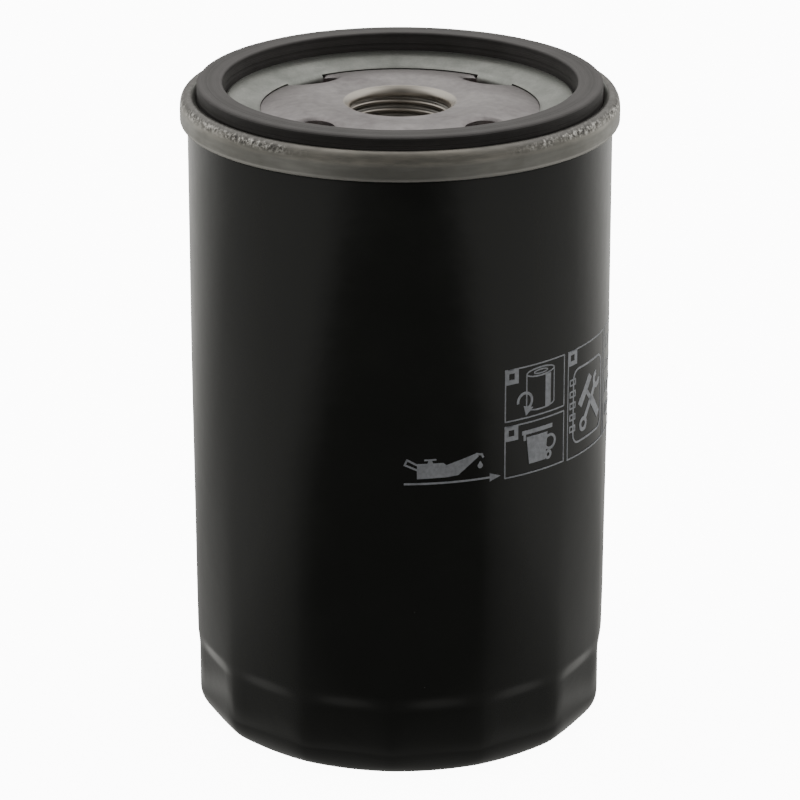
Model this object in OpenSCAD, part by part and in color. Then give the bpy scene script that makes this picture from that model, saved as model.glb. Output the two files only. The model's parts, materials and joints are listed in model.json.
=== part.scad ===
// Spin-on oil filter: a drawn steel can closed by a seamed lid and a threaded base plate,
// with a spring-held paper cartridge, a bypass valve and an anti-drain valve inside.
// +Z runs up the filter's axis to the threaded end. The origin is the centre of the closed end.

/* [Can] */
// Outer diameter of the can's straight wall
can_d = 74.4; // [74:0.1:76]
// Overall height, from the closed end to the sealing face of the gasket
height = 117.5; // [112:0.5:125]
// Thickness of the can's and the lid's sheet
sheet_t = 0.4; // [0.35:0.01:0.42]
// Radius of the corner at the closed end
corner_r = 5.3; // [4:0.1:6]
// Number of flats for a cap wrench
flat_count = 14; // [13:1:15]
// Width across opposite flats
across_flats = 72.2; // [71.8:0.1:72.4]
// Height at which the flats end
flat_top = 14.3; // [12:0.1:16]
// Turn of the first flat from the front
flat_turn = 10.3; // [0:0.1:25]

/* [Threaded end] */
// Minor diameter of the thread, which is the bore in the neck
thread_minor_d = 17.5; // [17.3:0.01:17.7]
// Length of the neck from the top of the plate
neck_l = 15.3; // [13:0.1:16]
// Thickness of the base plate
plate_t = 3; // [2.5:0.1:3.2]
// Number of oil inlet slots
inlet_count = 4; // [3:1:4]
// Length of an oil inlet slot, round the plate
inlet_l = 7.8; // [7.2:0.1:8.4]
// Width of an oil inlet slot
inlet_w = 7; // [6.6:0.1:7]
// Radius of the circle of inlet slots
inlet_ring_r = 20.8; // [20.6:0.1:20.8]
// Inner diameter of the lid's opening
lid_open_d = 49.2; // [48.8:0.1:50]
// Width of a lid foot, in degrees
foot_angle = 20.4; // [16:0.2:21]

/* [Gasket] */
// Outer diameter of the gasket
gasket_od = 71; // [70.6:0.1:71.4]
// Inner diameter of the gasket
gasket_id = 62; // [62:0.1:63]
// Height of the gasket above the plate's flange
gasket_stand = 6.2; // [5.8:0.1:6.4]

/* [Cartridge] */
// Number of pleats
pleat_count = 48; // [40:2:50]
// Outer diameter of the end caps
cap_d = 66; // [65:0.5:67]
// Height of the lower end cap above the closed end
cap_z = 24; // [23:0.5:26]
// Rows of holes in the centre tube
tube_rows = 10; // [6:1:11]

/* [Valves and springs] */
// Diameter of the bypass opening
bypass_d = 13; // [11:0.5:13.5]
// Outer radius of the anti-drain lip
lip_r = 26.8; // [25.5:0.1:27.5]
// Turns of the support spring
support_turns = 4; // [3:0.5:5]
// Turns of the bypass spring
bypass_turns = 6; // [5:0.5:7]

/* [Hidden] */
$fn = 96;
fit_gap = 0.03;                     // between pieces that are pressed or seamed together
face_gap = 0.05;                    // between flat faces that meet and part again
can_r = can_d / 2;

// Levels of the threaded end, down from the sealing face
flange_z = height - gasket_stand;   // top of the plate's flange
dome_z = flange_z + 2.5;            // top of the plate's raised centre
neck_bottom = dome_z - neck_l;
lid_floor_z = flange_z + fit_gap + sheet_t / 2;

// Double seam: five layers of sheet
can_wall_r = can_r - sheet_t / 2;
lid_wall_r = can_r - sheet_t - fit_gap - sheet_t / 2;
crown_in_r = gasket_od / 2 + face_gap + sheet_t / 2;    // the groove's wall leans in over the gasket
layer = sheet_t + fit_gap;
lid_hook_r = can_wall_r + layer;
can_hook_r = can_wall_r + 2 * layer;
lid_outer_r = can_wall_r + 3 * layer;
seam_mid_r = (crown_in_r + lid_outer_r) / 2;
seam_arc_z = flange_z + 2.65;       // centre of the seam's upper bends
seam_foot_z = flange_z + 0.05;      // centre of its lower bend

// Closed end
flat_r = across_flats / 2;
band_r = flat_r + 0.6;              // radius of the rounded edges between flats
blend_top = flat_top + 8;           // where the can reaches its full diameter
shell_top = blend_top + 3;          // where the drawn end becomes a plain tube
panel_rise = 1.2;                   // the middle of the closed end is set in by this much
panel_r = 20;
rest_r = 24.5;                      // inner radius of the ring that the filter stands on

// Neck and thread
bore_r = thread_minor_d / 2;
neck_r = bore_r + 2.65;
lip_bend = 1.4;                     // radius of the rounded mouth of the bore
dome_r = 18.5;                      // the raised centre is flat up to here, and slopes down from here on
dome_edge_r = 24.2;
flange_r = can_r - sheet_t - 0.5;

// Cartridge
cap_r = cap_d / 2;
cap_t = 0.5;
bond_t = 1.36;
upper_cap_z = neck_bottom + 1.7;
cap_hole_r = neck_r + 1.4;
rim_h = 4;
media_z0 = cap_z + cap_t + bond_t + 2 * fit_gap;
media_z1 = upper_cap_z - bond_t - 2 * fit_gap;
pleat_out_r = cap_r - cap_t - 0.9;
pleat_in_r = 17.3;
paper_t = 0.7;
tube_r = 16.1;
tube_t = 0.5;
tube_hole_d = 4.2;

// Bypass valve
seal_t = 1;
disc_t = 0.8;
disc_r = bypass_d / 2 + 2;
disc_z = cap_z + cap_t + fit_gap + seal_t + face_gap;
cage_r = disc_r + 1.6;
cage_t = 0.6;
cage_top = disc_z + 12;
stem_r = 1.5;

// ---- outlines -------------------------------------------------------------

// Points along an arc about c, from angle a0 to angle a1
function arc(c, r, a0, a1, n) = [for (i = [0:n]) let (a = a0 + (a1 - a0) * i / n) c + r * [cos(a), sin(a)]];

// Points along a smooth step from p to q, level at both ends along X
function step_x(p, q, n) = [for (i = [0:n]) let (u = i / n)
    [p.x + (q.x - p.x) * u, p.y + (q.y - p.y) * (1 - cos(180 * u)) / 2]];

// Unit normal, to the left of the way along the path, at point i
function way(p, i) = p[min(i + 1, len(p) - 1)] - p[max(i - 1, 0)];
function left_of(v) = [-v.y, v.x] / norm(v);

// Outline of a sheet of thickness t that follows the path p
function sheet(p, t) = concat(
    [for (i = [0:len(p) - 1]) p[i] + left_of(way(p, i)) * t / 2],
    [for (i = [len(p) - 1:-1:0]) p[i] - left_of(way(p, i)) * t / 2]);

function polar(r, a) = r * [cos(a), sin(a)];

module turned(outline) {
    rotate_extrude() polygon(outline);
}

module ring(r_in, r_out, z0, z1) {
    turned([[r_in, z0], [r_out, z0], [r_out, z1], [r_in, z1]]);
}

// A round wire of radius r along the points p, whose frames lie in planes through the Z axis
module wire(p, r, sides = 8) {
    n = len(p);
    points = [for (i = [0:n - 1]) let (
        w = p[min(i + 1, n - 1)] - p[max(i - 1, 0)],
        out = [p[i].x, p[i].y, 0] / norm([p[i].x, p[i].y, 0]),
        side = cross(w, out) / norm(cross(w, out)),
        up = cross(side, w) / norm(w))
        for (k = [0:sides - 1]) p[i] + r * (cos(360 * k / sides) * up + sin(360 * k / sides) * side)];
    walls = [for (i = [0:n - 2]) for (k = [0:sides - 1])
        let (a = i * sides + k, b = i * sides + (k + 1) % sides) [a, b, b + sides, a + sides]];
    polyhedron(points, concat(walls, [[for (k = [sides - 1:-1:0]) k]],
        [[for (k = [0:sides - 1]) (n - 1) * sides + k]]), convexity = 8);
}

// Height share along a coil whose first and last turns lie closed
function rise(u, closed) = u < closed ? 0 : u > 1 - closed ? 1 : (u - closed) / (1 - 2 * closed);

// Points of a coil spring between heights z0 and z1, with end radii r0 and r1
function coil(turns, r0, r1, z0, z1, wire_r, per_turn) = let (
    n = turns * per_turn,
    closed = 0.75 / turns,
    lift = 2.1 * wire_r * closed * turns)
    [for (i = [0:n]) let (u = i / n, a = 360 * turns * u,
        z = u < closed ? z0 + lift * u / closed
          : u > 1 - closed ? z1 - lift * (1 - u) / closed
          : z0 + lift + (z1 - z0 - 2 * lift) * rise(u, closed),
        r = r0 + (r1 - r0) * rise(u, closed))
        [r * cos(a), r * sin(a), z]];

// ---- can, lid, plate and gasket ------------------------------------------

// The drawn end as a solid, moved in by d on every side
function end_outline(d) = let (c = [band_r - corner_r, corner_r]) concat(
    [[0, panel_rise + d], [panel_r, panel_rise + d], [rest_r, d]],
    arc(c, corner_r - d, -90, 0, 6),
    [[band_r - d, flat_top - 2]],
    [for (i = [1:4]) let (u = i / 4)
        [band_r - d + (can_r - band_r) * (1 - cos(180 * u)) / 2, flat_top - 2 + (blend_top - flat_top + 2) * u]],
    [[can_r - d, shell_top], [0, shell_top]]);

// What a flat takes off the drawn end, beyond its face, moved in by d
module flat_cut(d) {
    c = [flat_r - corner_r, corner_r];
    face = concat(arc(c, corner_r - d, -60, 0, 4), [[flat_r - d, flat_top],
        [flat_r - d + 0.35, flat_top + 1], [flat_r - d + 1.6, flat_top + 3]]);
    rotate([90, 0, 0])
        linear_extrude(20, center = true)
            polygon(concat([[can_r + 2, face[0].y]], face, [[can_r + 2, flat_top + 3]]));
}

module drawn_end(d) {
    difference() {
        turned(end_outline(d));
        for (i = [0:flat_count - 1])
            rotate(flat_turn - 90 + 360 * i / flat_count) flat_cut(d);
    }
}

module can() {
    hook = concat([[can_wall_r, shell_top], [can_wall_r, seam_arc_z]],
        arc([can_wall_r + layer, seam_arc_z], layer, 160, 20, 7),
        [[can_hook_r, seam_arc_z], [can_hook_r, seam_foot_z + 0.4]]);
    color("#141414") {
        difference() {
            drawn_end(0);
            drawn_end(sheet_t);
        }
        turned(sheet(hook, sheet_t));
    }
}

// The ring of the lid, from its inner edge through the gasket's groove to the end of the seam
function lid_path() = let (bend = 0.5, wall_in = gasket_id / 2 - 0.25, edge = lid_open_d / 2) concat(
    [[edge, flange_z + 1.35], [edge + 0.7, flange_z + 1.68]],
    arc([wall_in - 0.8, flange_z + 1.98], 0.8, 78, 0, 4),
    arc([wall_in + bend, lid_floor_z + bend], bend, 180, 270, 4),
    arc([lid_wall_r - bend, lid_floor_z + bend], bend, 270, 355, 4),
    arc([seam_mid_r, seam_arc_z], lid_outer_r - seam_mid_r, 180, 0, 10),
    arc([(lid_outer_r + lid_hook_r) / 2, seam_foot_z], (lid_outer_r - lid_hook_r) / 2, 0, -180, 8),
    [[lid_hook_r, seam_arc_z - 0.8]]);

// A foot of the lid, bent down into a notch in the raised centre
module lid_foot() {
    edge = lid_open_d / 2;
    path = [for (p = [[0.7, 1.68], [0, 1.35], [-0.3, 1.12], [-0.5, 0.8], [-0.6, 0.4], [-0.6, 0.06]]) [edge, flange_z] + p];
    rotate(-foot_angle / 2)
        rotate_extrude(angle = foot_angle) polygon(sheet(path, sheet_t));
}

module seaming_lid() {
    color("#8f918c") {
        turned(sheet(lid_path(), sheet_t));
        for (i = [0:inlet_count - 1]) rotate(45 + 360 * i / inlet_count) lid_foot();
    }
}

module base_plate() {
    under_z = dome_z - plate_t;
    outline = concat(
        [[bore_r, neck_bottom + 0.4]],
        arc([bore_r + lip_bend, dome_z - lip_bend], lip_bend, 180, 90, 6),
        [for (p = [[0, 0], [1.5, 0.07], [3, 0.26], [4.3, 0.62], [5, 0.95], [5.5, 1.4], [5.7, 1.9]])
            [dome_r, dome_z] + [p[0], -p[1]]],
        [[dome_edge_r, flange_z]],
        [[flange_r - 0.4, flange_z], [flange_r, flange_z - 0.4]],
        [[flange_r, flange_z - plate_t + 0.3], [flange_r - 0.3, flange_z - plate_t]],
        step_x([dome_edge_r - 1.3, flange_z - plate_t], [dome_edge_r - 3.5, under_z], 7),
        arc([neck_r + 1.2, under_z - 1.2], 1.2, 90, 180, 4),
        [[neck_r, neck_bottom + 0.5], [neck_r - 0.5, neck_bottom], [bore_r + 0.4, neck_bottom]]);
    color("#9a9698")
        difference() {
            turned(outline);
            for (i = [0:inlet_count - 1]) rotate(45 + 360 * i / inlet_count) {
                translate([inlet_ring_r, 0, flange_z - plate_t - 1]) inlet_slot();
                rotate(-foot_angle / 2 - 1) rotate_extrude(angle = foot_angle + 2)
                    translate([dome_edge_r - 1, flange_z]) square([2, plate_t]);
            }
        }
}

module inlet_slot() {
    end = (inlet_l - inlet_w) / 2;
    linear_extrude(plate_t + 6)
        union() {
            for (side = [-1, 1]) translate([0, side * end]) circle(d = inlet_w);
            square([inlet_w, 2 * end], center = true);
        }
}

module gasket() {
    low = flange_z + sheet_t + 2 * fit_gap;
    ri = gasket_id / 2;
    ro = gasket_od / 2;
    edge = 0.35;
    color("#252424")
        turned(concat(
            [[ri + 0.4, low], [ro - 0.4, low], [ro, low + 0.4]],
            arc([ro - edge, height - edge], edge, 0, 90, 3),
            arc([ri + edge, height - edge], edge, 90, 180, 3),
            [[ri, low + 0.4]]));
}

module seam_sealant() {
    color("#5f6a52")
        ring(crown_in_r + 0.75, can_wall_r - sheet_t / 2 - fit_gap, seam_arc_z - 0.9, seam_arc_z + 0.3);
}

// ---- anti-drain valve ------------------------------------------------------

// A collar squeezed between the cartridge and the plate, and a thin lip that covers the inlet holes
module antidrain_valve() {
    grip = neck_r + 0.05;
    collar = grip + 1.9;
    foot_z = upper_cap_z + cap_t + face_gap;
    lip_z = flange_z - plate_t - face_gap;
    color("#33231f")
        turned([[grip, foot_z], [collar + 2.6, foot_z], [collar + 2.6, foot_z + 1.2], [collar + 2, foot_z + 1.8],
            [lip_r - 0.6, lip_z - 1.2], [lip_r, lip_z - 0.9], [lip_r, lip_z - 0.3], [lip_r - 0.3, lip_z],
            [lip_r - 1.6, lip_z], [collar + 0.8, foot_z + 3.2], [collar, foot_z + 4],
            [collar, dome_z - plate_t - 1.5], [collar - 0.4, dome_z - plate_t - 1.1], [grip + 0.3, dome_z - plate_t - 1.3],
            [grip, dome_z - plate_t - 1.6]]);
}

// ---- cartridge --------------------------------------------------------------

// An end cap: a disc with a rim, facing down when flip is -1
module end_cap(z, hole_r, flip) {
    bend = 0.8;
    path = concat([[hole_r, 0]], arc([cap_r - cap_t / 2 - bend, bend], bend, -90, 0, 4), [[cap_r - cap_t / 2, rim_h]]);
    translate([0, 0, z])
        turned([for (p = sheet(path, cap_t)) [p.x, flip * (p.y + cap_t / 2)]]);
}

module upper_end_cap() {
    color("#b9b7ae") {
        end_cap(upper_cap_z + cap_t, cap_hole_r, -1);
        ring(cap_hole_r, cap_hole_r + cap_t, upper_cap_z - 3, upper_cap_z + cap_t);
    }
}

module lower_end_cap() {
    color("#b9b7ae") end_cap(cap_z, bypass_d / 2, 1);
}

module centre_tube() {
    z0 = cap_z + cap_t + fit_gap;
    z1 = upper_cap_z - 0.1;
    pitch = (media_z1 - media_z0) / (tube_rows + 2);
    color("#a9a9a4")
        difference() {
            ring(tube_r - tube_t, tube_r, z0, z1);
            for (row = [1:tube_rows], k = [0:5])
                translate([0, 0, media_z0 + pitch * (row + 0.5)])
                    rotate([0, 90, 60 * k + 30 * (row % 2)])
                        translate([0, 0, tube_r - 3]) cylinder(d = tube_hole_d, h = 6);
        }
}

// One period of the pleated outline: a fold at radius peak and one at radius valley
function pleats(peak, valley, half_peak, half_valley) = let (period = 360 / pleat_count)
    [for (i = [0:pleat_count - 1]) for (p = [[peak, -half_peak], [peak, half_peak],
        [valley, period / 2 - half_valley], [valley, period / 2 + half_valley]]) polar(p.x, p.y + period * i)];

module pleated_media() {
    fold = 180 / PI;                // degrees for one millimetre of arc at a radius of one millimetre
    inner_valley = pleat_in_r + paper_t;
    color("#d9c48a")
        translate([0, 0, media_z0])
            linear_extrude(media_z1 - media_z0)
                difference() {
                    polygon(pleats(pleat_out_r, inner_valley, 0.75 / pleat_out_r * fold, 0.25 / inner_valley * fold));
                    polygon(pleats(pleat_out_r - paper_t, pleat_in_r, 0.1 / pleat_out_r * fold,
                        0.93 / pleat_in_r * fold));
                }
}

// A folded steel strip over the fold where the paper's ends meet
module media_clip() {
    half = 0.92;
    wall = 0.3;
    depth = 2.6;
    back = pleat_out_r + fit_gap;
    color("#c3c3c0")
        translate([0, 0, media_z0])
            linear_extrude(media_z1 - media_z0)
                difference() {
                    translate([back - depth, -half - wall]) square([depth + wall, 2 * (half + wall)]);
                    translate([back - depth - 1, -half]) square([depth + 1, 2 * half]);
                }
}

// Plastisol in an end cap, from the cap's face at z towards the paper
module bond(z, flip) {
    out = cap_r - cap_t - 0.1;
    color("#7d5a4a")
        turned([[tube_r + fit_gap, z], [out - 0.7, z], [out, z + flip * 0.7], [out, z + flip * bond_t],
            [tube_r + fit_gap, z + flip * bond_t]]);
}

module upper_bond() {
    bond(upper_cap_z - fit_gap, -1);
}

module lower_bond() {
    bond(cap_z + cap_t + fit_gap, 1);
}

// ---- bypass valve -----------------------------------------------------------

module bypass_cage() {
    base = cap_z + cap_t + fit_gap;
    color("#b8b08e")
        difference() {
            turned([[cage_r, base], [tube_r - tube_t - 0.3, base], [tube_r - tube_t - 0.3, base + cage_t],
                [cage_r + cage_t, base + cage_t], [cage_r + cage_t, cage_top - 0.8], [cage_r + cage_t - 0.8, cage_top],
                [stem_r + 0.25, cage_top], [stem_r + 0.25, cage_top - cage_t], [cage_r - 0.3, cage_top - cage_t],
                [cage_r, cage_top - cage_t - 0.3]]);
            for (k = [0:1]) rotate(90 * k) translate([-20, -5, base + 2]) cube([40, 10, cage_top - base - 4]);
        }
}

module bypass_seal() {
    color("#2b2b2b") ring(bypass_d / 2 + 0.2, disc_r - 0.3, cap_z + cap_t + fit_gap, cap_z + cap_t + fit_gap + seal_t);
}

module bypass_disc() {
    color("#c9c6b8") ring(stem_r * 0.7 + fit_gap, disc_r, disc_z, disc_z + disc_t);
}

// A guide pin whose lower shank is riveted through the disc
module bypass_stem() {
    color("#b5b5b5")
        turned([[0, disc_z - 0.45], [stem_r - 0.2, disc_z - 0.45], [stem_r, disc_z - 0.25], [stem_r, disc_z - fit_gap],
            [stem_r * 0.7, disc_z - fit_gap], [stem_r * 0.7, disc_z + disc_t + fit_gap],
            [stem_r, disc_z + disc_t + fit_gap], [stem_r, cage_top + 3.6], [stem_r - 0.4, cage_top + 4], [0, cage_top + 4]]);
}

module stem_clip() {
    color("#8a8f96") ring(stem_r + fit_gap, stem_r + 1.6, cage_top + 1.2, cage_top + 1.8);
}

module bypass_spring() {
    wire_r = 0.45;
    color("#9fa3a8")
        wire(coil(bypass_turns, 5.2, 5.2, disc_z + disc_t + wire_r + fit_gap, cage_top - cage_t - wire_r - fit_gap,
            wire_r, 20), wire_r);
}

// ---- support spring ---------------------------------------------------------

module support_spring() {
    wire_r = 1;
    color("#85898c")
        wire(coil(support_turns, 27.2, 18, sheet_t + wire_r + fit_gap, cap_z - wire_r - fit_gap, wire_r, 26), wire_r);
}

can();
seaming_lid();
base_plate();
gasket();
seam_sealant();
antidrain_valve();
upper_end_cap();
lower_end_cap();
centre_tube();
pleated_media();
media_clip();
upper_bond();
lower_bond();
bypass_cage();
bypass_seal();
bypass_disc();
bypass_stem();
stem_clip();
bypass_spring();
support_spring();
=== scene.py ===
"""Spin-on oil filter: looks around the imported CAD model, in metres, +Z up."""
import json
import math

import bmesh
import bpy
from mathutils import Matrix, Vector, noise


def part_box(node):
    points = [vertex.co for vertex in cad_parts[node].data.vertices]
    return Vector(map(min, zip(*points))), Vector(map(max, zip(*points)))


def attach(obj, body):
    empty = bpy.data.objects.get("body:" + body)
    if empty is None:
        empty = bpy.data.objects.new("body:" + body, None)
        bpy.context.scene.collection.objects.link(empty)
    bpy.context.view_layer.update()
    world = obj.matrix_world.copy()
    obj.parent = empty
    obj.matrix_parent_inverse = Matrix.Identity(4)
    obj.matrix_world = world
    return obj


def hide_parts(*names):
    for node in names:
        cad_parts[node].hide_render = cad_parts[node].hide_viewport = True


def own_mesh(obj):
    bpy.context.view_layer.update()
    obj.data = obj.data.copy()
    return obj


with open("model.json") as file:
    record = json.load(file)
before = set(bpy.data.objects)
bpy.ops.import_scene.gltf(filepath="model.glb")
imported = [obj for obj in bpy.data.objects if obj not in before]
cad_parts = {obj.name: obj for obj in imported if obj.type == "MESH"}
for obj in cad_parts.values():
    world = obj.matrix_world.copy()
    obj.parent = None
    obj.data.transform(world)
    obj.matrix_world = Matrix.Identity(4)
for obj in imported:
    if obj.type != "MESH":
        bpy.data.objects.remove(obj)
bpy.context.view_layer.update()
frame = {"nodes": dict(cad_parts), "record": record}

MM = 0.001
PI = math.pi

# ---- sizes, in millimetres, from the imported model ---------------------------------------


def span(node):
    """Lowest and highest corner of a CAD node, in millimetres."""
    low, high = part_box(node)
    return [v / MM for v in low], [v / MM for v in high]


_, lid_high = span("seaming_lid")
plate_low, plate_high = span("base_plate")
gasket_low, gasket_high = span("gasket")
spring_low, spring_high = span("support_spring")
small_low, small_high = span("bypass_spring")
valve_low, valve_high = span("antidrain_valve")

SHEET = 0.4                                  # thickness of the can's and the lid's sheet
CAN_R = 37.2
HEIGHT = gasket_high[2]
SEAM_R = lid_high[0]                         # outside of the double seam
DOME_Z = plate_high[2]                       # top of the plate's raised centre
NECK_BOTTOM = plate_low[2]
FLANGE_Z = DOME_Z - 2.5                      # top of the plate's flange
PLATE_T = 3.0
FLANGE_R = plate_high[0]
BORE_R = 8.75                                # on the thread's crests
NECK_R = BORE_R + 2.65
GASKET_RO = gasket_high[0]
GASKET_RI = 31.0
LID_OPEN_R = 24.6                            # the lid's opening over the plate
INLET_RING_R = 21.2                          # circle of the inlet slots' centres
INLET_L = 8.0
INLET_W = 7.1
FLATS = 14
APOTHEM = 36.1                               # from the axis to the middle of a flat
FIRST_FLAT = math.radians(10.3 - 90)         # direction of a flat's middle, from +X


def smooth(edge0, edge1, v):
    """0 at edge0, 1 at edge1, and an S curve between."""
    t = min(max((v - edge0) / (edge1 - edge0), 0.0), 1.0)
    return t * t * (3 - 2 * t)


def soft_min(a, b, k):
    """The smaller of a and b, rounded over a difference of k."""
    h = min(max(0.5 + 0.5 * (b - a) / k, 0.0), 1.0)
    return b + (a - b) * h - k * h * (1 - h)


# ---- mesh helpers ------------------------------------------------------------------------


def arc(cx, cy, r, a0, a1, n):
    """Points on an arc, from a0 to a1 degrees."""
    return [(cx + r * math.cos(math.radians(a0 + (a1 - a0) * i / n)),
             cy + r * math.sin(math.radians(a0 + (a1 - a0) * i / n))) for i in range(n + 1)]


def add_object(name, bm, body, material, smooth_shaded=True):
    """Turns a bmesh in millimetres into a piece that rides on a body."""
    bmesh.ops.scale(bm, vec=(MM, MM, MM), verts=bm.verts)
    bmesh.ops.recalc_face_normals(bm, faces=bm.faces)
    mesh = bpy.data.meshes.new(name)
    bm.to_mesh(mesh)
    bm.free()
    obj = bpy.data.objects.new(name, mesh)
    bpy.context.collection.objects.link(obj)
    for poly in mesh.polygons:
        poly.use_smooth = smooth_shaded
    mesh.materials.append(material)
    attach(obj, body)
    return obj


def apply_modifiers(obj):
    """Replaces the object's mesh with the one its modifiers make."""
    bpy.context.view_layer.update()
    deps = bpy.context.evaluated_depsgraph_get()
    mesh = bpy.data.meshes.new_from_object(obj.evaluated_get(deps))
    obj.modifiers.clear()
    obj.data = mesh


def sharpen(obj, degrees):
    """Shades the mesh smooth, apart from edges sharper than the angle."""
    bm = bmesh.new()
    bm.from_mesh(obj.data)
    limit = math.radians(degrees)
    for e in bm.edges:
        if len(e.link_faces) == 2:
            e.smooth = e.calc_face_angle(0.0) < limit
    bm.to_mesh(obj.data)
    bm.free()


def turned(outline, segments, shape=None):
    """A bmesh of a closed (r, z) outline turned about Z. shape(r, z, angle, i) may move each point."""
    bm = bmesh.new()
    columns = []
    for k in range(segments):
        a = 2 * PI * k / segments
        column = []
        for i, (r, z) in enumerate(outline):
            if shape:
                r, z = shape(r, z, a, i)
            column.append(bm.verts.new((r * math.cos(a), r * math.sin(a), z)))
        columns.append(column)
    n = len(outline)
    for k in range(segments):
        c0, c1 = columns[k], columns[(k + 1) % segments]
        for i in range(n):
            j = (i + 1) % n
            bm.faces.new((c0[i], c1[i], c1[j], c0[j]))
    return bm


def wire(points, r, sides):
    """A bmesh of a round wire of radius r along points."""
    bm = bmesh.new()
    rings = []
    n = len(points)
    for i, p in enumerate(points):
        along = (points[min(i + 1, n - 1)] - points[max(i - 1, 0)]).normalized()
        out = Vector((p.x, p.y, 0)).normalized()
        side = along.cross(out).normalized()
        up = side.cross(along).normalized()
        rings.append([bm.verts.new(p + r * (math.cos(t) * up + math.sin(t) * side))
                      for t in (2 * PI * k / sides for k in range(sides))])
    for a, b in zip(rings, rings[1:]):
        for k in range(sides):
            bm.faces.new((a[k], a[(k + 1) % sides], b[(k + 1) % sides], b[k]))
    bm.faces.new(list(reversed(rings[0])))
    bm.faces.new(rings[-1])
    return bm


# ---- materials ------------------------------------------------------------------------------


class Nodes:
    """Builds a material's node tree in a few short calls."""

    def __init__(self, name):
        self.mat = bpy.data.materials.new(name)
        self.mat.use_nodes = True
        self.tree = self.mat.node_tree
        self.bsdf = self.tree.nodes["Principled BSDF"]
        self.coord = self.tree.nodes.new("ShaderNodeTexCoord").outputs["Object"]

    def set(self, **values):
        for key, value in values.items():
            self.bsdf.inputs[key.replace("_", " ")].default_value = value
        return self

    def link(self, out, key):
        self.tree.links.new(out, self.bsdf.inputs[key])

    def stretched(self, sx, sy, sz):
        node = self.tree.nodes.new("ShaderNodeMapping")
        node.inputs["Scale"].default_value = (sx, sy, sz)
        self.tree.links.new(self.coord, node.inputs["Vector"])
        return node.outputs["Vector"]

    def noise(self, scale, detail, rough=0.55, vector=None):
        node = self.tree.nodes.new("ShaderNodeTexNoise")
        node.inputs["Scale"].default_value = scale
        node.inputs["Detail"].default_value = detail
        node.inputs["Roughness"].default_value = rough
        self.tree.links.new(vector or self.coord, node.inputs["Vector"])
        return node.outputs["Fac"]

    def voronoi(self, scale):
        node = self.tree.nodes.new("ShaderNodeTexVoronoi")
        node.inputs["Scale"].default_value = scale
        self.tree.links.new(self.coord, node.inputs["Vector"])
        return node.outputs["Distance"]

    def ramp(self, value, stops):
        """stops is a list of (position, value or colour)."""
        node = self.tree.nodes.new("ShaderNodeValToRGB")
        ramp = node.color_ramp
        for i, (pos, c) in enumerate(stops):
            e = ramp.elements[i] if i < 2 else ramp.elements.new(pos)
            e.position = pos
            c = (c, c, c) if isinstance(c, (int, float)) else c
            e.color = (*c, 1.0)
        self.tree.links.new(value, node.inputs["Fac"])
        return node.outputs["Color"]

    def math(self, op, a, b):
        node = self.tree.nodes.new("ShaderNodeMath")
        node.operation = op
        for socket, v in zip(node.inputs, (a, b)):
            if isinstance(v, (int, float)):
                socket.default_value = v
            else:
                self.tree.links.new(v, socket)
        return node.outputs[0]

    def axis(self, which):
        node = self.tree.nodes.new("ShaderNodeSeparateXYZ")
        self.tree.links.new(self.coord, node.inputs[0])
        return node.outputs[which]

    def times(self, a, b):
        return self.math("MULTIPLY", a, b)

    def radius(self):
        x, y = self.axis("X"), self.axis("Y")
        return self.math("SQRT", self.math("ADD", self.times(x, x), self.times(y, y)), 0)

    def above(self, z, scale=1000.0):
        """Height over z, in units of 1/scale metre. z is in the same units."""
        return self.math("SUBTRACT", self.times(self.axis("Z"), scale), z)

    def blend(self, a, b, share):
        """a with b taking the share."""
        return self.math("ADD", self.times(a, 1 - share), self.times(b, share))

    def rings_vector(self, scale):
        """A vector that runs along the radius, for rings round the axis."""
        node = self.tree.nodes.new("ShaderNodeCombineXYZ")
        self.tree.links.new(self.times(self.radius(), scale), node.inputs["X"])
        self.tree.links.new(self.times(self.axis("Z"), scale), node.inputs["Y"])
        return node.outputs[0]

    def mix(self, fac, a, b):
        node = self.tree.nodes.new("ShaderNodeMix")
        node.data_type = "RGBA"
        # the colour sockets of the node's A and B are its sixth and seventh
        for place, v in ((0, fac), (6, a), (7, b)):
            socket = node.inputs[place]
            if isinstance(v, (tuple, list)):
                socket.default_value = (*v, 1.0)
            elif isinstance(v, (int, float)):
                socket.default_value = v
            else:
                self.tree.links.new(v, socket)
        return node.outputs[2]

    def bump(self, *layers):
        """layers are (height, strength, distance in metres)."""
        last = None
        for height, strength, distance in layers:
            node = self.tree.nodes.new("ShaderNodeBump")
            node.inputs["Strength"].default_value = strength
            node.inputs["Distance"].default_value = distance
            self.tree.links.new(height, node.inputs["Height"])
            if last:
                self.tree.links.new(last, node.inputs["Normal"])
            last = node.outputs["Normal"]
        self.link(last, "Normal")
        return self


def black_paint():
    """Gloss black enamel: orange peel, faint haze, a few specks of dust and a painted shadow line under the
    seam, where the reflection is turned down.
    """
    m = Nodes("black_enamel").set(IOR=1.5)
    haze = m.noise(55, 4, 0.6)
    specks = m.ramp(m.voronoi(420), [(0.0, 1.0), (0.045, 0.0)])
    keep = m.ramp(m.noise(90, 2), [(0.62, 0.0), (0.68, 1.0)])
    dust = m.times(specks, keep)
    base = m.mix(haze, (0.0135, 0.0144, 0.0128), (0.0205, 0.0218, 0.0195))
    m.link(m.mix(dust, base, (0.16, 0.16, 0.155)), "Base Color")
    rough = m.ramp(haze, [(0.3, 0.13), (0.7, 0.24)])
    m.link(m.math("ADD", rough, m.times(dust, 0.4)), "Roughness")
    # painted shadow: the enamel's reflection is turned down in a thin band just under the seam
    painted_seam_shadow = m.above(109.6)
    m.link(m.ramp(painted_seam_shadow, [(0.25, 0.5), (0.8, 0.06)]), "Specular IOR Level")
    peel = m.noise(900, 2, 0.5)
    slow = m.noise(120, 2, 0.5)
    m.bump((slow, 0.10, 0.0006), (peel, 0.08, 0.00008), (dust, 0.35, 0.00008))
    return m.mat


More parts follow.
